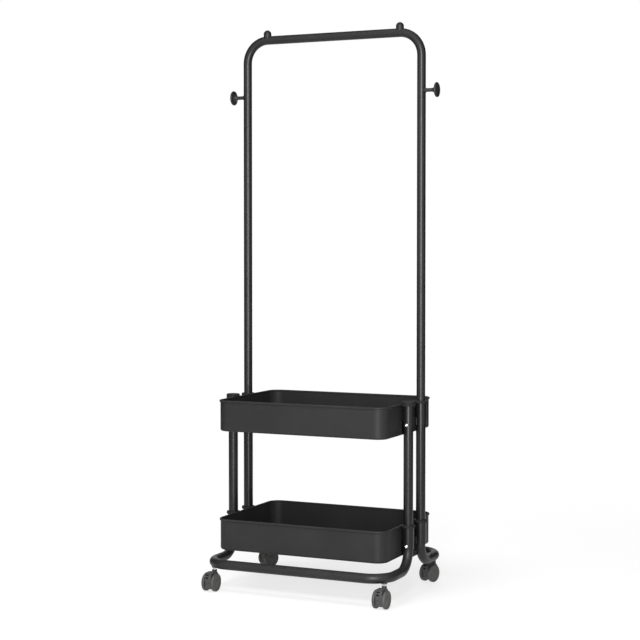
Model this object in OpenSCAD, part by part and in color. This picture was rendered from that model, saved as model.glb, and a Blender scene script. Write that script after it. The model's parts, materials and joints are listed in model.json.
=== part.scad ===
// Rolling clothes rack: a U-shaped hanging frame over two sheet-metal trays,
// on a bent-tube base with four swivelling twin-wheel casters.
// Origin: on the floor, at the centre of the plan. +Z up, -Y is the front.

/* [Overall] */
// Floor to the axis of the hanging bar
bar_z = 1571; // [1480:1:1700]
// Half the distance between the left and right tube axes
post_x = 273; // [273:1:285]
// Half the distance between the front and rear post axes
post_y = 47.5; // [42:0.5:60]

/* [Tubes] */
// Outside diameter of the posts and base tubes
post_od = 27; // [25:0.5:27]
// Wall thickness of every tube
tube_wall = 1.1; // [1:0.1:1.5]
// Bend radius of the hanging frame, to the tube's axis
bar_bend = 65; // [50:1:65]

/* [Base] */
// Height of the base tubes' axis over the floor
base_z = 78.5; // [76:0.5:79.5]
// Distance from the centre to the axis of the front and rear runs
base_y = 211.5; // [205:0.5:225]
// Radius of the bend from a post down into the base
drop_bend = 55; // [45:1:55]
// Radius of the plan bend at each corner
corner_bend = 63; // [50:1:70]
// Where a caster's stem meets the corner bend, as an angle from the side
stem_angle = 38.5; // [30:0.5:55]

/* [Trays] */
// Outside width of a tray's walls
tray_w = 513; // [500:1:513]
// Outside depth of a tray's walls
tray_d = 362; // [320:1:380]
// Height of a tray
tray_h = 88; // [80:1:95]
// Plan radius of a tray's corners
tray_r = 33; // [20:1:60]
// Thickness of the sheet
sheet = 1.2; // [0.8:0.1:1.6]
// Inside radius of the fold between the floor and the walls
fold_r = 4; // [2:0.5:8]
// Thickness of the flattened roll along the rim
rim_t = 4.8; // [3:0.1:5]
// Height of the roll
rim_h = 6.5; // [5:0.5:9]
// Height of the lower tray's underside
lower_z = 113; // [112:1:120]
// Height of the upper tray's underside
upper_z = 449; // [420:1:600]

/* [Brackets] */
// Outside diameter of the sleeves that hold the posts
sleeve_od = 32; // [30:0.5:32]
// Underside of a sleeve over the tray's underside
sleeve_low = 20; // [19:1:22]
// Diameter of the collars and caps over the sleeves
collar_od = 39; // [36:1:42]
// Height of a collar
collar_h = 7.2; // [7:0.1:9]
// Height of a cap
cap_h = 13; // [11:0.5:16]
// Height of the bracket's plate and web
plate_h = 38; // [36:1:40]
// Height of the fixing screws over the tray's underside
screw_h = 30; // [27:1:32]

/* [Knobs and pegs] */
// Height of the side knobs
knob_z = 1407; // [1200:1:1450]
// Diameter of a side knob's head
knob_d = 42; // [38:1:46]
// Reach of a side knob from the tube's axis
knob_reach = 51.5; // [48:0.5:60]
// Distance of each ball peg from the centre of the bar
peg_x = 208; // [100:1:208]
// Diameter of a ball peg
peg_d = 22.5; // [18:0.5:24]
// Top of a ball peg over the bar's axis
peg_h = 29.5; // [27:0.5:34]

/* [Casters] */
// Diameter of the wheels
wheel_d = 50; // [46:1:52]
// Width of one wheel
wheel_w = 8; // [7:0.5:10]
// Distance between the middles of the two wheels
wheel_gap = 29.6; // [29:0.1:31]
// Distance from the stem to the axle
trail = 20; // [16:0.5:22]
// How far the rear left caster has swivelled from straight ahead
rear_left_turn = -26; // [-180:1:180]
// How far the rear right caster has swivelled from straight ahead
rear_right_turn = -15; // [-180:1:180]

/* [Hidden] */
$fn = 64;
eps = 0.01;
slide_fit = 0.1;       // radial play of a tube in a sleeve or another tube
run_fit = 0.05;        // radial play of a turning part on its pin
post_r = post_od / 2;
bar_r = post_r - tube_wall - slide_fit;  // the hanging frame slides into the rear posts
sleeve_r = sleeve_od / 2;
collar_r = collar_od / 2;
drop_z = base_z + drop_bend;             // where the drop bend starts
joint_z = lower_z + 48;                  // base tube and post meet in the lower sleeve
post_end = tray_h - 2;                   // top of the posts over the upper tray's underside
post_top = upper_z + post_end;
rim_out = 2.7;                           // how far the roll stands out from the wall
rim_clear = tray_w / 2 + rim_out + 0.8;  // where a collar is cut away beside the roll
sleeve_top = tray_h - rim_h - 0.2;       // just under the roll
insert = 50;                             // overlap of the hanging frame and a rear post
fold_out = fold_r + sheet;
screw_r = 3;
head_r = 4.6;
stud_r = 3;
ring_edge = 1.5;         // rounding of a collar's top edge
cap_edge = 3.5;          // rounding of a cap's top edge
foot_r = 8;              // side knob: foot against the tube
waist_r = 5.2;           // side knob: waist behind the head
back_r = 13;             // side knob: sweep from the waist out to the head
edge_r = 3;              // side knob: rounding of the head's edge
face_h = 2.5;            // side knob: height of the domed face
edge_y = knob_reach - face_h - edge_r;
stem_r = 4;
nut_r = 5.5;
nut_flange_r = 8;
nut_low = base_z - post_r - 1.8;
gusset_low = 101;
web_t = 3;
plate_out = post_x - post_r - 0.3;       // outer face of a bracket's plate, just clear of the posts
plate_half = 64;
web_x = post_x - 8;      // outer face of the webs between the front and rear tubes
hood_half = wheel_gap / 2 - wheel_w / 2 - 0.7;
hood_front = 20.5;       // hood: reach from the axle to its flat face
hood_back = 27.5;        // hood: reach from the axle past the stem
hood_rise = 29;          // hood: top over the axle
hood_drop = 16.5;        // hood: underside below the axle
axle_z = wheel_d / 2;
axle_r = 3;
neck_r = 7;
neck_top = 57.5;
stem_x = post_x - corner_bend * (1 - cos(stem_angle));
stem_y = base_y - corner_bend * (1 - sin(stem_angle));

STEEL = [0.13, 0.13, 0.135];
SHEET = [0.17, 0.17, 0.18];
PLASTIC = [0.16, 0.16, 0.165];
ZINC = [0.8, 0.8, 0.82];

// Each caster: side of X, side of Y, swivel from straight ahead
CORNERS = [[-1, -1, 0], [1, -1, 0], [-1, 1, rear_left_turn], [1, 1, rear_right_turn]];

// ---- bent tubes ----

// A bend of 90 degrees about Z from +X towards +Y, of radius r_bend to the axis
module bend(r_bend, r) {
    rotate_extrude(angle = 90)
        translate([r_bend, 0])
            circle(r);
}

// Half of the front base tube, of radius r, on the side of +X.
// It drops from the sleeve, turns to the front, then round the corner to the middle.
module base_half(r, open_end) {
    translate([post_x, -post_y, drop_z])
        cylinder(h = joint_z - drop_z + open_end, r = r);
    translate([post_x, -post_y - drop_bend, drop_z])
        rotate([0, 90, 0])
            bend(drop_bend, r);
    translate([post_x, -base_y + corner_bend, base_z])
        rotate([-90, 0, 0])
            cylinder(h = base_y - corner_bend - post_y - drop_bend, r = r);
    translate([post_x - corner_bend, -base_y + corner_bend, base_z])
        rotate([0, 0, -90])
            bend(corner_bend, r);
    translate([0, -base_y, base_z])
        rotate([0, 90, 0])
            cylinder(h = post_x - corner_bend, r = r);
}

module base_path(r, open_end = 0) {
    base_half(r, open_end);
    mirror([1, 0, 0])
        base_half(r, open_end);
}

module base_tube() {
    difference() {
        base_path(post_r);
        base_path(post_r - tube_wall, 1);
        for (sx = [-1, 1]) {
            translate([sx * stem_x, -stem_y, base_z - post_r - 1])
                cylinder(h = post_r, r = nut_r + slide_fit);
            screw_hole(sx, -1, lower_z);
        }
    }
}

module front_base_tube() {
    color(STEEL)
        base_tube();
}

module rear_base_tube() {
    color(STEEL)
        mirror([0, 1, 0])
            base_tube();
}

// Plate that ties the front and rear base tubes together under the lower tray
module base_gusset(side) {
    color(STEEL)
        difference() {
            translate([side * (web_x - web_t / 2) - web_t / 2, -post_y, gusset_low])
                cube([web_t, 2 * post_y, lower_z + 3 - gusset_low]);
            for (sy = [0, 1])
                mirror([0, sy, 0])
                    base_path(post_r);
        }
}

// ---- trays ----

// Section of a tray's side: floor strip, fold, wall and rolled rim.
// x = 0 is the wall's outer face, and the tray lies on the side of -x.
module tray_section() {
    translate([-tray_r, 0])
        square([tray_r - fold_out, sheet]);
    translate([-fold_out, fold_out])
        intersection() {
            difference() {
                circle(fold_out);
                circle(fold_r);
            }
            translate([0, -fold_out])
                square(fold_out);
        }
    translate([-sheet, fold_out])
        square([sheet, tray_h - fold_out - rim_h / 2]);
    translate([rim_out - rim_t / 2, tray_h - rim_h / 2]) {
        square([rim_t, rim_h - rim_t], center = true);
        for (sz = [-1, 1])
            translate([0, sz * (rim_h - rim_t) / 2])
                circle(rim_t / 2);
    }
}

module tray_side(length) {
    translate([-length / 2, 0, 0])
        rotate([90, 0, 90])
            linear_extrude(length)
                tray_section();
}

module tray(z) {
    in_x = tray_w / 2 - tray_r;
    in_y = tray_d / 2 - tray_r;
    color(SHEET)
        translate([0, 0, z]) {
            translate([-in_x, -in_y, 0])
                cube([2 * in_x, 2 * in_y, sheet]);
            for (turn = [0, 180])
                rotate([0, 0, turn]) {
                    translate([0, tray_d / 2, 0])
                        tray_side(2 * in_x);
                    rotate([0, 0, -90])
                        translate([0, tray_w / 2, 0])
                            tray_side(2 * in_y);
                    translate([in_x, in_y, 0])
                        tray_corner();
                    translate([-in_x, in_y, 0])
                        rotate([0, 0, 90])
                            tray_corner();
                }
        }
}

module tray_corner() {
    rotate_extrude(angle = 90)
        translate([tray_r, 0])
            tray_section();
}

module lower_tray() {
    tray(lower_z);
}

module upper_tray() {
    tray(upper_z);
}

// ---- brackets, collars and caps ----

// Hole of a fixing screw, which enters a sleeve from the front or the rear
module screw_hole(side, sy, z) {
    translate([side * post_x, sy * post_y, z + screw_h])
        rotate([-sy * 90, 0, 0])
            cylinder(h = sleeve_r + 2, r = screw_r + slide_fit);
}

// Plate welded to a tray's short side, with a sleeve for each of the two posts
// and a web between the sleeves
module bracket(side, z) {
    plate_t = plate_out - tray_w / 2;
    color(STEEL)
        difference() {
            union() {
                translate([side * (plate_out - plate_t / 2) - plate_t / 2, -plate_half, z + 4])
                    cube([plate_t, 2 * plate_half, plate_h]);
                translate([side * (web_x - web_t / 2) - web_t / 2, -post_y, z + 4])
                    cube([web_t, 2 * post_y, plate_h]);
                for (sy = [-1, 1])
                    translate([side * post_x, sy * post_y, z + sleeve_low])
                        cylinder(h = sleeve_top - sleeve_low, r = sleeve_r);
            }
            for (sy = [-1, 1]) {
                translate([side * post_x, sy * post_y, z])
                    cylinder(h = tray_h, r = post_r + slide_fit);
                screw_hole(side, sy, z);
            }
        }
}

// Disc of radius r and height h with its top edge rounded by edge
module rounded_disc(r, h, edge) {
    cylinder(h = h - edge, r = r);
    cylinder(h = h, r = r - edge);
    translate([0, 0, h - edge])
        rotate_extrude()
            translate([r - edge, 0])
                intersection() {
                    circle(edge);
                    square(edge);
                }
}

// Plastic ring or cap of height h on top of a sleeve. It is cut away beside the tray's
// rim up to cut_z. Its bore fits the post, and narrows to lip_r over the post's end.
module collar(side, sy, z, h, edge, cut_z, lip_r) {
    translate([side * post_x, sy * post_y, z + sleeve_top])
        difference() {
            rounded_disc(collar_r, h, edge);
            translate([0, 0, -1])
                cylinder(h = post_end + 0.1 - sleeve_top + 1, r = post_r + slide_fit);
            if (lip_r > 0)
                cylinder(h = 2 * h, r = lip_r + slide_fit);
            translate([side * (rim_clear - post_x - collar_r) - collar_r, -collar_r, -1])
                cube([2 * collar_r, 2 * collar_r, cut_z - sleeve_top + 1]);
        }
}

module lower_collars() {
    color(PLASTIC)
        for (side = [-1, 1], sy = [-1, 1])
            collar(side, sy, lower_z, collar_h, ring_edge, tray_h + 2, post_r);
}

module upper_collars() {
    color(PLASTIC)
        for (side = [-1, 1])
            collar(side, 1, upper_z, collar_h, ring_edge, tray_h + 2, bar_r);
}

// Cap over the end of a front post, with a groove round it
module post_cap(side) {
    groove_z = 6.6;
    color(PLASTIC)
        difference() {
            collar(side, -1, upper_z, cap_h, cap_edge, tray_h + 0.3, 0);
            translate([side * post_x, -post_y, upper_z + sleeve_top + groove_z])
                rotate_extrude()
                    translate([collar_r - 0.8, 0])
                        square([2, 1.2]);
        }
}

// ---- posts and hanging frame ----

module post(side, sy) {
    color(STEEL)
        difference() {
            translate([side * post_x, sy * post_y, joint_z + 0.5])
                cylinder(h = post_top - joint_z - 0.5, r = post_r);
            translate([side * post_x, sy * post_y, joint_z])
                cylinder(h = post_top, r = post_r - tube_wall);
            screw_hole(side, sy, upper_z);
        }
}

module hanging_half(r, open_end) {
    low = post_top - insert;
    translate([post_x, post_y, low - open_end])
        cylinder(h = bar_z - bar_bend - low + open_end, r = r);
    translate([post_x - bar_bend, post_y, bar_z - bar_bend])
        rotate([90, 0, 0])
            bend(bar_bend, r);
    translate([0, post_y, bar_z])
        rotate([0, 90, 0])
            cylinder(h = post_x - bar_bend, r = r);
}

module hanging_path(r, open_end = 0) {
    hanging_half(r, open_end);
    mirror([1, 0, 0])
        hanging_half(r, open_end);
}

module hanging_frame() {
    color(STEEL)
        difference() {
            hanging_path(bar_r);
            hanging_path(bar_r - tube_wall, 1);
            for (side = [-1, 1]) {
                translate([side * post_x, post_y, knob_z])
                    rotate([0, side * 90, 0])
                        cylinder(h = 2 * bar_r, r = stud_r + slide_fit);
                translate([side * peg_x, post_y, bar_z])
                    cylinder(h = 2 * bar_r, r = stud_r + slide_fit);
            }
        }
}

// Section of a mushroom knob from the tube outwards: flared foot, waist, swept back,
// rounded edge and domed face. x is the radius and y the distance from the tube's axis.
function foot_curve() = [
    for (a = [0:15:90])
        [waist_r + (foot_r - waist_r) * (1 - sin(a)), bar_r + 4 * (1 - cos(a))]
];
function back_curve() = [
    for (a = [0:15:75])
        [waist_r + back_r * (1 - cos(a)), edge_y - edge_r - back_r * (1 - sin(a))]
];
function edge_curve() = [
    for (a = [-75:15:90])
        [knob_d / 2 - edge_r * (1 - cos(a)), edge_y + edge_r * sin(a)]
];
function face_curve() = [
    for (t = [0.8:-0.2:0])
        [(knob_d / 2 - edge_r) * t, knob_reach - face_h * t * t]
];

module knob(side) {
    color(PLASTIC)
        difference() {
            translate([side * post_x, post_y, knob_z])
                rotate([0, side * 90, 0])
                    rotate_extrude()
                        polygon(concat(
                            [[0, 0], [foot_r, 0]],
                            foot_curve(),
                            back_curve(),
                            edge_curve(),
                            face_curve()
                        ));
            translate([side * post_x, post_y, knob_z - knob_d])
                cylinder(h = 2 * knob_d, r = bar_r);
            translate([side * post_x, post_y, knob_z])
                rotate([0, side * 90, 0])
                    cylinder(h = knob_reach - 12, r = stud_r);
        }
}

module peg(side) {
    color(PLASTIC)
        difference() {
            translate([side * peg_x, post_y, bar_z])
                rotate_extrude()
                    intersection() {
                        union() {
                            translate([0, peg_h - peg_d / 2])
                                circle(peg_d / 2);
                            translate([-peg_d / 2, 0])
                                square([peg_d, peg_h - peg_d / 2]);
                        }
                        square([peg_d, peg_h]);
                    }
            hanging_path(bar_r);
            translate([side * peg_x, post_y, bar_z])
                cylinder(h = peg_h - 8, r = stud_r);
        }
}

module knob_studs() {
    color(ZINC)
        for (side = [-1, 1])
            translate([side * (post_x + 5), post_y, knob_z])
                rotate([0, side * 90, 0])
                    cylinder(h = knob_reach - 18, r = stud_r - eps);
}

module peg_studs() {
    color(ZINC)
        for (side = [-1, 1])
            translate([side * peg_x, post_y, bar_z + 5])
                cylinder(h = peg_h - 14, r = stud_r - eps);
}

// ---- fixing screws ----

// Pan-head screw with a hexagon socket, its head on +Z and its seat at z = 0
module pan_screw() {
    difference() {
        union() {
            translate([0, 0, -9])
                cylinder(h = 9 + eps, r = screw_r);
            intersection() {
                cylinder(h = 2.8, r = head_r);
                translate([0, 0, -head_r * 0.9])
                    sphere(head_r * 1.55);
            }
        }
        translate([0, 0, 1.1])
            cylinder(h = 3, r = 1.9, $fn = 6);
    }
}

module bracket_screws() {
    color(ZINC)
        for (side = [-1, 1], sy = [-1, 1], z = [lower_z, upper_z])
            translate([side * post_x, sy * (post_y + sleeve_r), z + screw_h])
                rotate([-sy * 90, 0, 0])
                    pan_screw();
}

// ---- casters ----

// Puts a child, drawn with its stem on the Z axis, at a corner of the base
module at_corner(i) {
    translate([CORNERS[i][0] * stem_x, CORNERS[i][1] * stem_y, 0])
        rotate([0, 0, CORNERS[i][2]])
            children();
}

// Threaded insert in the underside of a base tube, with a flange cut to the tube
module stem_nuts() {
    color(STEEL)
        for (i = [0:3])
            difference() {
                translate([CORNERS[i][0] * stem_x, CORNERS[i][1] * stem_y, nut_low]) {
                    cylinder(h = 14, r = nut_r);
                    difference() {
                        cylinder(h = 6, r = nut_flange_r);
                        cylinder(h = 6 + eps, r = nut_r);
                    }
                }
                difference() {
                    mirror([0, CORNERS[i][1] > 0 ? 1 : 0, 0])
                        base_path(post_r);
                    translate([CORNERS[i][0] * stem_x, CORNERS[i][1] * stem_y, 0])
                        cylinder(h = base_z, r = nut_r + eps);
                }
                translate([CORNERS[i][0] * stem_x, CORNERS[i][1] * stem_y, nut_low - 1])
                    cylinder(h = 20, r = stem_r);
            }
}

// Stem: a smooth pin in the hood, a hexagon to turn it, and the thread in the tube
module caster_stems() {
    color(ZINC)
        for (i = [0:3])
            translate([CORNERS[i][0] * stem_x, CORNERS[i][1] * stem_y, 0]) {
                translate([0, 0, 33])
                    cylinder(h = neck_top + 1.5 - 33, r = stem_r);
                translate([0, 0, neck_top + 0.3])
                    cylinder(h = nut_low - neck_top - 0.3, r = 6, $fn = 6);
                translate([0, 0, nut_low - eps])
                    cylinder(h = 20, r = stem_r - 0.02);
            }
}

// What rounding a corner at +X +Y by r takes off it, drawn about the rounding's centre
module corner_waste(r) {
    difference() {
        square(r + 1);
        circle(r);
    }
}

// Side outline of the hood: a block between the wheels, high and blunt in front,
// falling away behind the stem, and just clear of the floor
module hood_outline() {
    nose_r = 7;
    tail_r = 20;
    toe_r = 4;
    translate([-trail, axle_z])
        difference() {
            translate([-hood_front, -hood_drop])
                square([hood_front + hood_back, hood_drop + hood_rise]);
            translate([hood_back - tail_r, hood_rise - tail_r])
                corner_waste(tail_r);
            translate([nose_r - hood_front, hood_rise - nose_r])
                rotate(90)
                    corner_waste(nose_r);
            translate([toe_r - hood_front, toe_r - hood_drop])
                rotate(180)
                    corner_waste(toe_r);
            translate([hood_back - toe_r, toe_r - hood_drop])
                rotate(270)
                    corner_waste(toe_r);
        }
}

// Recess moulded into the hood's front, with its middle at height z, from x for the given length
module hood_recess(x, z, length, height, depth) {
    translate([x, -trail - hood_front - 1, z - height / 2])
        cube([length, depth + 1, height]);
}

// Hood with the stem's socket in its neck and the axle's bore. In front it has a line
// under the top edge, two deep slots and a shallow panel.
module hood(i) {
    boss_y = -4.5;
    boss_top = neck_top - 2;
    socket_z = 32;
    color(PLASTIC)
        at_corner(i)
            difference() {
                union() {
                    rotate([90, 0, 90])
                        linear_extrude(2 * hood_half, center = true)
                            hood_outline();
                    translate([0, 0, axle_z])
                        cylinder(h = neck_top - axle_z, r = neck_r);
                    translate([0, boss_y, axle_z])
                        cylinder(h = boss_top - axle_z, r = 5.2);
                }
                translate([0, 0, socket_z])
                    cylinder(h = neck_top, r = stem_r + run_fit);
                translate([0, -trail, axle_z])
                    rotate([0, 90, 0])
                        cylinder(h = 4 * hood_half, r = axle_r, center = true);
                hood_recess(-hood_half - 1, 51.6, 2 * hood_half + 2, 1, 3);
                hood_recess(-7, 48, 10.5, 3.2, 9);
                hood_recess(-7, 39.8, 7.8, 4.4, 9);
                hood_recess(-6.8, 20, 13.6, 11, 1);
            }
}

module axle(i) {
    color(ZINC)
        at_corner(i)
            translate([0, -trail, axle_z])
                rotate([0, 90, 0])
                    cylinder(h = wheel_gap + wheel_w - 3, r = axle_r, center = true);
}

// Half section of a wheel: rounded tread, dished outer face, hub and axle bore
module wheel(i, end) {
    edge = 1.6;                    // rounding of the tread
    dish = 1.2;                    // depth of the dished ring in the outer face
    dish_out = wheel_d / 2 - 5;
    dish_in = 7.5;
    cap_t = 1.2;                   // thickness of the outer face over the axle's end
    color(PLASTIC)
        at_corner(i)
            translate([end * wheel_gap / 2, -trail, axle_z])
                rotate([0, end * 90, 0])
                    difference() {
                        rotate_extrude()
                            polygon(concat(
                                [[0, -wheel_w / 2], [wheel_d / 2 - edge, -wheel_w / 2]],
                                [for (a = [-75:15:90])
                                    [wheel_d / 2 - edge + edge * cos(a),
                                     (a <= 0 ? -1 : 1) * (wheel_w / 2 - edge) + edge * sin(a)]],
                                [[dish_out, wheel_w / 2], [dish_out - 1, wheel_w / 2 - dish],
                                 [dish_in + 1.5, wheel_w / 2 - dish], [dish_in, wheel_w / 2],
                                 [0, wheel_w / 2]]
                            ));
                        translate([0, 0, -wheel_w])
                            cylinder(h = 1.5 * wheel_w - cap_t, r = axle_r + run_fit);
                    }
}

front_base_tube();
rear_base_tube();
base_gusset(-1);  // left_base_gusset
base_gusset(1);  // right_base_gusset
lower_tray();
upper_tray();
bracket(-1, lower_z);  // lower_left_bracket
bracket(1, lower_z);  // lower_right_bracket
bracket(-1, upper_z);  // upper_left_bracket
bracket(1, upper_z);  // upper_right_bracket
lower_collars();
upper_collars();
post_cap(-1);  // left_post_cap
post_cap(1);  // right_post_cap
post(-1, -1);  // front_left_post
post(1, -1);  // front_right_post
post(-1, 1);  // rear_left_post
post(1, 1);  // rear_right_post
hanging_frame();
knob(-1);  // left_knob
knob(1);  // right_knob
peg(-1);  // left_peg
peg(1);  // right_peg
knob_studs();
peg_studs();
bracket_screws();
caster_stems();
stem_nuts();
hood(0);  // front_left_hood
axle(0);  // front_left_axle
wheel(0, -1);  // front_left_wheel_a
wheel(0, 1);  // front_left_wheel_b
hood(1);  // front_right_hood
axle(1);  // front_right_axle
wheel(1, -1);  // front_right_wheel_a
wheel(1, 1);  // front_right_wheel_b
hood(2);  // rear_left_hood
axle(2);  // rear_left_axle
wheel(2, -1);  // rear_left_wheel_a
wheel(2, 1);  // rear_left_wheel_b
hood(3);  // rear_right_hood
axle(3);  // rear_right_axle
wheel(3, -1);  // rear_right_wheel_a
wheel(3, 1);  // rear_right_wheel_b
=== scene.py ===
import json
from math import cos, radians, sin

import bpy
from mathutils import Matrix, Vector

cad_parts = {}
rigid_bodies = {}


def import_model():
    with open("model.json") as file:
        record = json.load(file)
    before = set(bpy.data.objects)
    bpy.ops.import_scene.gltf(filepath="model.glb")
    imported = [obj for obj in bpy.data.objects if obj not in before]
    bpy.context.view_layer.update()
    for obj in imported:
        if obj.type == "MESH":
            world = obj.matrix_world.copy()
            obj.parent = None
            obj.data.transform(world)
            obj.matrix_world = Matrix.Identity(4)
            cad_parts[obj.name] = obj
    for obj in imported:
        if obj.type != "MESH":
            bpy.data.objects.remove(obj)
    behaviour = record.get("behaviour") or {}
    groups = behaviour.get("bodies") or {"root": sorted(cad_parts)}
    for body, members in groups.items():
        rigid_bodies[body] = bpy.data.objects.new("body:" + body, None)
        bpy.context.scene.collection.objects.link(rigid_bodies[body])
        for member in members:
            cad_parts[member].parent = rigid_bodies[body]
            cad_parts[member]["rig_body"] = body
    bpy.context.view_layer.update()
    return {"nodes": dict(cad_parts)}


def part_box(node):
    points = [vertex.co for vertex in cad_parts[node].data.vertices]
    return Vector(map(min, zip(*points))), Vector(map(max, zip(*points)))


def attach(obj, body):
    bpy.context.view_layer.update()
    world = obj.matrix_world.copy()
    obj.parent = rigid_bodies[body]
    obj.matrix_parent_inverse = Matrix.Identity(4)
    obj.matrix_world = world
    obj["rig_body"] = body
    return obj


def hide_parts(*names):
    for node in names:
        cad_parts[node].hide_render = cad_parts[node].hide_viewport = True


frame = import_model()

nodes = frame["nodes"]
bpy.context.scene.view_settings.view_transform = "Standard"
print("frame loaded:", len(nodes), "nodes")

# Camera and light

view = {
    "place": (1.859, -4.076, 0.980),
    "turn": 24.72,    # degrees to the left of straight ahead
    "tilt": 1.826,    # degrees down
    "lens": 88.37,
    "sensor": 36,
    "shift": -0.042,
}


def addCamera():
    data = bpy.data.cameras.new("camera")
    data.lens = view["lens"]
    data.sensor_width = view["sensor"]
    data.shift_y = view["shift"]
    camera = bpy.data.objects.new("camera", data)
    camera.location = view["place"]
    camera.rotation_euler = (radians(90 - view["tilt"]), 0, radians(view["turn"]))
    bpy.context.scene.collection.objects.link(camera)
    bpy.context.scene.camera = camera


softboxes = {
    # place, point it faces, width and height, watts, whether reflections show it
    "key": {
        "place": (1.30, -2.85, 1.35), "aim": (0, 0, 0.8), "size": (0.7, 2.6),
        "watts": 150, "shows": True,
    },
    "left": {
        "place": (-2.6, -2.4, 1.6), "aim": (0, 0, 0.7), "size": (1.6, 2.4),
        "watts": 12, "shows": True,
    },
    "top": {
        "place": (-0.4, -1.3, 3.2), "aim": (0, 0, 0.5), "size": (1.6, 1.6),
        "watts": 90, "shows": False,
    },
    "rear": {
        "place": (-1.5, 3.3, 1.4), "aim": (0, 0, 0.6), "size": (2.0, 2.0),
        "watts": 90, "shows": False,
    },
}


def addSoftboxes():
    for name, box in softboxes.items():
        data = bpy.data.lights.new(name, "AREA")
        data.shape = "RECTANGLE"
        data.size, data.size_y = box["size"]
        data.energy = box["watts"]
        lamp = bpy.data.objects.new(name, data)
        lamp.location = box["place"]
        toAim = Vector(box["aim"]) - Vector(box["place"])
        lamp.rotation_euler = toAim.to_track_quat("-Z", "Y").to_euler()
        lamp.visible_glossy = box["shows"]
        bpy.context.scene.collection.objects.link(lamp)


# Material tools

def newMaterial(name):
    material = bpy.data.materials.new(name)
    material.use_nodes = True
    tree = material.node_tree
    tree.nodes.clear()
    return material, tree


def addNode(tree, kind, inputs=None, **settings):
    node = tree.nodes.new(kind)
    for key, value in settings.items():
        setattr(node, key, value)
    for key, value in (inputs or {}).items():
        if isinstance(value, bpy.types.NodeSocket):
            tree.links.new(value, node.inputs[key])
        else:
            node.inputs[key].default_value = value
    return node


def addSurface(tree, shader):
    output = addNode(tree, "ShaderNodeOutputMaterial")
    tree.links.new(shader.outputs[0], output.inputs["Surface"])


def noiseAt(tree, where, scale, detail):
    inputs = {"Vector": where, "Scale": scale, "Detail": detail}
    return addNode(tree, "ShaderNodeTexNoise", inputs).outputs["Fac"]


def remap(tree, value, band, low, high):
    inputs = {0: value, 1: band[0], 2: band[1], 3: low, 4: high}
    return addNode(tree, "ShaderNodeMapRange", inputs).outputs[0]


def mixColour(tree, share, first, second, blend="MIX"):
    inputs = {0: share, 6: first, 7: second}
    mix = addNode(tree, "ShaderNodeMix", inputs, data_type="RGBA", blend_type=blend)
    return mix.outputs[2]


def combine(tree, operation, first, second):
    return addNode(tree, "ShaderNodeMath", {0: first, 1: second}, operation=operation).outputs[0]


patterns = {
    # scale and detail of the noise, and the band of it that counts
    "cloud": {"scale": 9, "detail": 4, "band": (0.3, 0.7)},
    "speck": {"scale": 420, "detail": 3, "band": (0.62, 0.78)},
    "sheen": {"scale": 26, "detail": 5, "band": (0.25, 0.75)},
    "dust": {"scale": 55, "detail": 6, "band": (0.38, 0.72)},
    "plating": {"scale": 260, "detail": 3, "band": (0.35, 0.65)},
    "buffing": {"scale": 700, "detail": 2, "band": (0.3, 0.7)},
}


def patternAt(tree, where, name, low, high):
    pattern = patterns[name]
    noise = noiseAt(tree, where, pattern["scale"], pattern["detail"])
    return remap(tree, noise, pattern["band"], low, high)


bumpDetail = 2


def addBump(tree, where, scale, height, strength):
    relief = noiseAt(tree, where, scale, bumpDetail)
    inputs = {"Height": relief, "Distance": height, "Strength": strength}
    return addNode(tree, "ShaderNodeBump", inputs).outputs["Normal"]


# Painted steel and moulded plastic

finishes = {
    # two colours, specular level, roughness, scale and height of the grain, dust, reach of the
    # painted shade
    "powderCoat": {
        "dark": (0.004, 0.004, 0.0042, 1), "light": (0.007, 0.007, 0.0072, 1),
        "shine": 0.32, "roughness": (0.28, 0.34),
        "grain": 700, "grainHeight": 0.000007, "dust": 0.010,
    },
    # the same powder coat as the uprights, its colours painted lighter to stand in for the light
    # on the bar's flanks
    "barCoatPaintedLighter": {
        "dark": (0.0065, 0.0065, 0.0067, 1), "light": (0.0105, 0.0105, 0.0107, 1),
        "shine": 0.29, "roughness": (0.32, 0.38),
        "grain": 700, "grainHeight": 0.000007, "dust": 0.010,
    },
    # the same powder coat, rougher, its colours painted lighter to stand in for the light on the
    # base tubes
    "baseCoatPaintedLighter": {
        "dark": (0.0085, 0.0085, 0.0085, 1), "light": (0.0135, 0.0135, 0.0135, 1),
        "shine": 0.27, "roughness": (0.38, 0.48),
        "grain": 700, "grainHeight": 0.000020, "dust": 0.012,
    },
    "trayCoat": {
        "dark": (0.0125, 0.0125, 0.0125, 1), "light": (0.0160, 0.0160, 0.0162, 1),
        "shine": 0.16, "roughness": (0.46, 0.54),
        "grain": 800, "grainHeight": 0.00003, "dust": 0.012,
    },
    "collarPlastic": {
        "dark": (0.008, 0.008, 0.0085, 1), "light": (0.013, 0.013, 0.0135, 1),
        "shine": 0.16, "roughness": (0.62, 0.74),
        "grain": 1400, "grainHeight": 0.00003, "dust": 0.004,
    },
    "knobPlastic": {
        "dark": (0.010, 0.010, 0.0105, 1), "light": (0.015, 0.015, 0.0155, 1),
        "shine": 0.34, "roughness": (0.44, 0.54),
        "grain": 1400, "grainHeight": 0.00002, "dust": 0.006,
    },
    "pegPlastic": {
        "dark": (0.004, 0.004, 0.0042, 1), "light": (0.007, 0.007, 0.0073, 1),
        "shine": 0.30, "roughness": (0.44, 0.54),
        "grain": 1400, "grainHeight": 0.00002, "dust": 0.006,
    },
    "hoodPlastic": {
        "dark": (0.025, 0.025, 0.0255, 1), "light": (0.034, 0.034, 0.0345, 1),
        "shine": 0.40, "roughness": (0.50, 0.62),
        "grain": 1500, "grainHeight": 0.00004, "dust": 0.02, "paintedShadeReach": 0.006,
    },
    "wheelPlastic": {
        "dark": (0.034, 0.034, 0.0320, 1), "light": (0.046, 0.046, 0.0435, 1),
        "shine": 0.40, "roughness": (0.46, 0.60),
        "grain": 1500, "grainHeight": 0.00004, "dust": 0.03, "paintedShadeReach": 0.004,
    },
}
speckShare = 0.6
grainStrength = 0.6


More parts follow.
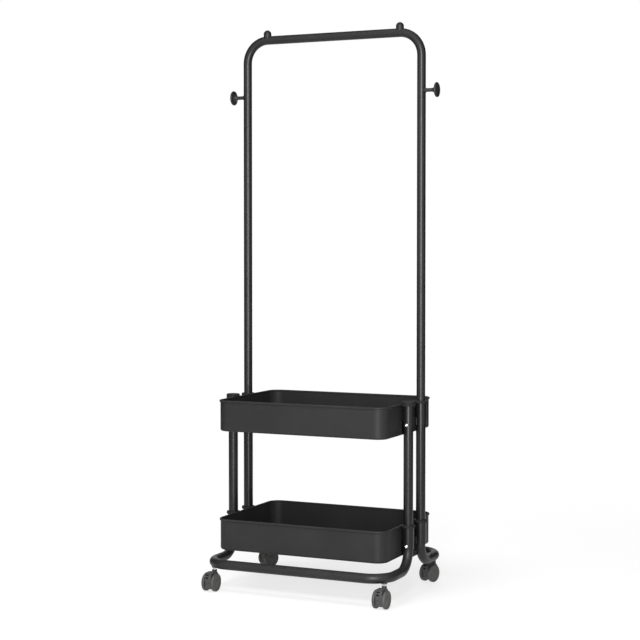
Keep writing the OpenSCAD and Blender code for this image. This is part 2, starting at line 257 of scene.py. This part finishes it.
def coatedFinish(name):
    look = finishes[name]
    material, tree = newMaterial(name)
    where = addNode(tree, "ShaderNodeTexCoord").outputs["Object"]
    cloud = patternAt(tree, where, "cloud", 0, 1)
    colour = mixColour(tree, cloud, look["dark"], look["light"])
    speck = patternAt(tree, where, "speck", 0, speckShare)
    colour = mixColour(tree, speck, colour, look["light"])
    colour = addDust(tree, where, colour, look["dust"])
    # painted shade: the colour is darkened in slots, seams and grooves by how enclosed they are
    if "paintedShadeReach" in look:
        colour = addPaintedShade(tree, colour, look["paintedShadeReach"])
    shader = addNode(tree, "ShaderNodeBsdfPrincipled", {
        "Base Color": colour,
        "Roughness": patternAt(tree, where, "sheen", *look["roughness"]),
        "Specular IOR Level": look["shine"],
        "Normal": addBump(tree, where, look["grain"], look["grainHeight"], grainStrength),
    })
    addSurface(tree, shader)
    return material


dusting = {
    "level": (0.5, 1.0),    # how far up a face looks where dust starts and where it is full
    "thinnest": 0.25,
    "warmth": 0.97,
}


def addDust(tree, where, colour, amount):
    # faint dust that settles in patches on whatever faces up
    normal = addNode(tree, "ShaderNodeNewGeometry").outputs["Normal"]
    up = addNode(tree, "ShaderNodeSeparateXYZ", {0: normal}).outputs["Z"]
    facing = remap(tree, up, dusting["level"], 0, 1)
    patches = patternAt(tree, where, "dust", dusting["thinnest"], 1)
    share = combine(tree, "MULTIPLY", facing, patches)
    powder = (amount, amount, amount * dusting["warmth"], 1)
    dusty = mixColour(tree, 1.0, colour, powder, "ADD")
    return mixColour(tree, share, colour, dusty)


# painted shade: rays per point, the band of openness over which it fades out, and its colour
paintedShading = {"samples": 8, "openness": (0.30, 0.85), "colour": (0.003, 0.003, 0.003, 1)}


def addPaintedShade(tree, colour, reach):
    # painted shade: darkens slots, seams and grooves narrower than the reach, where shade falls
    openness = addNode(tree, "ShaderNodeAmbientOcclusion", {"Distance": reach},
                       samples=paintedShading["samples"]).outputs["AO"]
    unshaded = remap(tree, openness, paintedShading["openness"], 0, 1)
    return mixColour(tree, unshaded, paintedShading["colour"], colour)


# Zinc plate

zincs = {
    "zinc": {
        "dark": (0.55, 0.56, 0.58, 1), "light": (0.72, 0.73, 0.75, 1), "roughness": (0.22, 0.36),
    },
    "blackZinc": {
        "dark": (0.06, 0.06, 0.065, 1), "light": (0.10, 0.10, 0.105, 1), "roughness": (0.35, 0.5),
    },
}
scratches = {"scale": 2600, "height": 0.00004, "strength": 0.4}


def zincFinish(name):
    look = zincs[name]
    material, tree = newMaterial(name)
    where = addNode(tree, "ShaderNodeTexCoord").outputs["Object"]
    cloud = patternAt(tree, where, "plating", 0, 1)
    shader = addNode(tree, "ShaderNodeBsdfPrincipled", {
        "Base Color": mixColour(tree, cloud, look["dark"], look["light"]),
        "Roughness": patternAt(tree, where, "buffing", *look["roughness"]),
        "Metallic": 1.0,
        "Normal": addBump(tree, where, scratches["scale"], scratches["height"],
                          scratches["strength"]),
    })
    addSurface(tree, shader)
    return material


# Studio

def visibleRays(tree):
    rays = addNode(tree, "ShaderNodeLightPath").outputs
    seen = combine(tree, "MAXIMUM", rays["Is Camera Ray"], rays["Is Glossy Ray"])
    return combine(tree, "MAXIMUM", seen, rays["Is Transmission Ray"])


ambient = 0.38


def addWorld():
    world = bpy.data.worlds.new("studio")
    world.use_nodes = True
    tree = world.node_tree
    tree.nodes.clear()
    strength = remap(tree, visibleRays(tree), (0, 1), ambient, 1)
    glow = addNode(tree, "ShaderNodeBackground", {"Strength": strength, "Color": (1, 1, 1, 1)})
    output = addNode(tree, "ShaderNodeOutputWorld")
    tree.links.new(glow.outputs[0], output.inputs["Surface"])
    bpy.context.scene.world = world


floorLook = {
    "size": 60,
    "matt": (0.72, 0.72, 0.72, 1),
    "white": 0.72,          # how far white covers the shadow under the rack
    "fade": (0.6, 2.2),     # distances over which white takes over altogether
}


def addFloor():
    bpy.ops.mesh.primitive_plane_add(size=floorLook["size"], location=(0, 0, 0))
    floor = bpy.context.object
    floor.name = "floor"
    material, tree = newMaterial("paleFloor")
    where = addNode(tree, "ShaderNodeTexCoord").outputs["Object"]
    away = addNode(tree, "ShaderNodeVectorMath", {0: where}, operation="LENGTH").outputs["Value"]
    near, far = floorLook["fade"]
    fade = addNode(tree, "ShaderNodeMapRange",
                   {0: away, 1: near, 2: far, 3: floorLook["white"], 4: 1.0},
                   interpolation_type="SMOOTHSTEP").outputs[0]
    share = combine(tree, "MULTIPLY", fade, visibleRays(tree))
    matt = addNode(tree, "ShaderNodeBsdfDiffuse", {"Color": floorLook["matt"]})
    white = addNode(tree, "ShaderNodeEmission", {"Color": (1, 1, 1, 1), "Strength": 1.0})
    surface = addNode(tree, "ShaderNodeMixShader",
                      {0: share, 1: matt.outputs[0], 2: white.outputs[0]})
    addSurface(tree, surface)
    floor.data.materials.append(material)


flagCloth = (0.02, 0.02, 0.02, 1)
flags = {
    # width and height, place to the right of the rack, behind it and over the floor,
    # and whether it lies flat
    "flagLeft": {"size": (4.4, 3.6), "right": -1.9, "behind": 1.6, "over": 1.8, "flat": False},
    "flagRight": {"size": (4.4, 3.6), "right": 1.9, "behind": 1.6, "over": 1.8, "flat": False},
    "flagTop": {"size": (4.4, 4.0), "right": 0.0, "behind": 2.0, "over": 2.4, "flat": True},
}


def addFlags():
    # dark boards, which only reflections see: they draw the edges of the rack's dark tubes
    material, tree = newMaterial("flagCloth")
    addSurface(tree, addNode(tree, "ShaderNodeBsdfDiffuse", {"Color": flagCloth}))
    turn = radians(view["turn"])
    for name, flag in flags.items():
        bpy.ops.mesh.primitive_plane_add(size=1)
        board = bpy.context.object
        board.name = name
        board.scale = (*flag["size"], 1)
        if flag["flat"]:
            board.rotation_euler = (0, 0, turn)
        else:
            board.rotation_euler = (radians(90), 0, radians(90) + turn)
        board.location = (
            flag["right"] * cos(turn) - flag["behind"] * sin(turn),
            flag["right"] * sin(turn) + flag["behind"] * cos(turn),
            flag["over"],
        )
        board.data.materials.append(material)
        board.visible_camera = False
        board.visible_diffuse = False
        board.visible_shadow = False


addCamera()
addFlags()
addSoftboxes()
addWorld()
addFloor()
print("studio set")

coats = {name: coatedFinish(name) for name in finishes}
coats.update({name: zincFinish(name) for name in zincs})

coatOf = {
    # word in a node's name: its finish; the first word found decides
    "stem_nuts": "blackZinc", "stud": "zinc", "screw": "zinc", "stem": "zinc", "axle": "zinc",
    "tray": "trayCoat", "collar": "collarPlastic", "cap": "collarPlastic",
    "knob": "knobPlastic", "peg": "pegPlastic",
    "hood": "hoodPlastic", "wheel": "wheelPlastic",
    "hanging": "barCoatPaintedLighter", "base": "baseCoatPaintedLighter",
}
for name in nodes:
    words = [word for word in coatOf if word in name]
    coat = coatOf[words[0]] if words else "powderCoat"
    nodes[name].data.materials.clear()
    nodes[name].data.materials.append(coats[coat])
print("finishes set")

# Mouldings with eased edges

mouldings = {
    # word in the node's name: radius of its eased edges, and the slot of its plastic
    "hood": {"radius": 0.0007, "slot": "caster_plastic"},
    "wheel": {"radius": 0.0008, "slot": "wheel_plastic"},
}
easing = {
    "merge": 0.00002,
    "flat": 0.6,       # degrees below which faces count as one
    "segments": 3,
    "sharp": 38,       # degrees from which an edge is eased
    "smooth": 34,      # degrees up to which shading runs on
}


def easedCopy(name, moulding):
    bpy.ops.object.select_all(action="DESELECT")
    piece = bpy.data.objects.new(name + "_moulding", nodes[name].data.copy())
    bpy.context.scene.collection.objects.link(piece)
    bpy.context.view_layer.objects.active = piece
    piece.select_set(True)
    bpy.ops.object.mode_set(mode="EDIT")
    bpy.ops.mesh.select_all(action="SELECT")
    bpy.ops.mesh.remove_doubles(threshold=easing["merge"])
    bpy.ops.mesh.dissolve_limited(angle_limit=radians(easing["flat"]))
    bpy.ops.object.mode_set(mode="OBJECT")
    bevel = piece.modifiers.new("easedEdges", "BEVEL")
    bevel.width = moulding["radius"]
    bevel.segments = easing["segments"]
    bevel.limit_method = "ANGLE"
    bevel.angle_limit = radians(easing["sharp"])
    bevel.use_clamp_overlap = True
    bpy.ops.object.modifier_apply(modifier=bevel.name)
    bpy.ops.object.shade_smooth_by_angle(angle=radians(easing["smooth"]))
    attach(piece, nodes[name]["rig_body"])
    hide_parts(name)


for name in nodes:
    for word, moulding in mouldings.items():
        if word in name:
            easedCopy(name, moulding)
print("mouldings eased")

# Weld beads, where the webs and gussets meet the tubes

welds = {
    "sides": 10, "radius": 0.0023, "pitch": 0.0011, "smooth": 60,
    "ripple": 0.82, "tip": 0.5,    # share of the radius between ripples and at the ends
    "face": 0.2654,        # outer face of webs and gussets, from the middle plane
    "seam": 0.0332,        # seam of a web on a sleeve
    "sleeveFoot": 0.016,   # over the foot of a bracket's plate
    "webTop": 0.038,
}
baseTube = {
    "radius": 0.0135, "upright": 0.0475, "bend": 0.055,
    "bendTop": 0.1335, "faceInset": 0.008,
}


def weldBead(name, route):
    bpy.ops.object.select_all(action="DESELECT")
    bpy.ops.mesh.primitive_circle_add(
        vertices=welds["sides"], radius=welds["radius"] * welds["tip"],
        fill_type="NGON", location=route[0])
    piece = bpy.context.object
    piece.name = name
    bpy.ops.object.transform_apply(location=True, rotation=True, scale=True)
    bpy.ops.object.mode_set(mode="EDIT")
    bpy.ops.mesh.select_all(action="SELECT")
    last = len(route) - 1
    width = welds["tip"]
    for index in range(1, last + 1):
        newWidth = 1.0 if index % 2 else welds["ripple"]
        if index == last:
            newWidth = welds["tip"]
        step = route[index] - route[index - 1]
        bpy.ops.mesh.extrude_region_move(TRANSFORM_OT_translate={"value": step})
        grow = newWidth / width
        bpy.ops.transform.resize(value=(grow, grow, 1), center_override=route[index])
        width = newWidth
    bpy.ops.mesh.select_all(action="SELECT")
    bpy.ops.mesh.normals_make_consistent(inside=False)
    bpy.ops.object.mode_set(mode="OBJECT")
    bpy.ops.object.shade_smooth_by_angle(angle=radians(welds["smooth"]))
    piece.data.materials.append(coats["powderCoat"])
    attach(piece, "frame")


def bracketSeam(height):
    return welds["seam"]


def gussetSeam(height):
    # the tube leans away from the gusset below the top of its bend
    drop = baseTube["bendTop"] - height
    lean = baseTube["bend"] - (baseTube["bend"] ** 2 - drop ** 2) ** 0.5
    halfChord = (baseTube["radius"] ** 2 - baseTube["faceInset"] ** 2) ** 0.5
    return baseTube["upright"] + lean - halfChord


def seamRoute(x, end, low, high, seamAt):
    count = round((high - low) / welds["pitch"])
    heights = [low + (high - low) * index / count for index in range(count + 1)]
    return [Vector((x, end * seamAt(height), height)) for height in heights]


for name in nodes:
    low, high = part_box(name)
    if name.endswith("bracket"):
        foot, top, seamAt = low.z + welds["sleeveFoot"], low.z + welds["webTop"], bracketSeam
    elif name.endswith("gusset"):
        foot, top, seamAt = low.z, high.z, gussetSeam
    else:
        continue
    x = welds["face"] if low.x > 0 else -welds["face"]
    for word, end in {"front": -1, "rear": 1}.items():
        weldBead(name + "_weld_" + word, seamRoute(x, end, foot, top, seamAt))
print("welds laid")
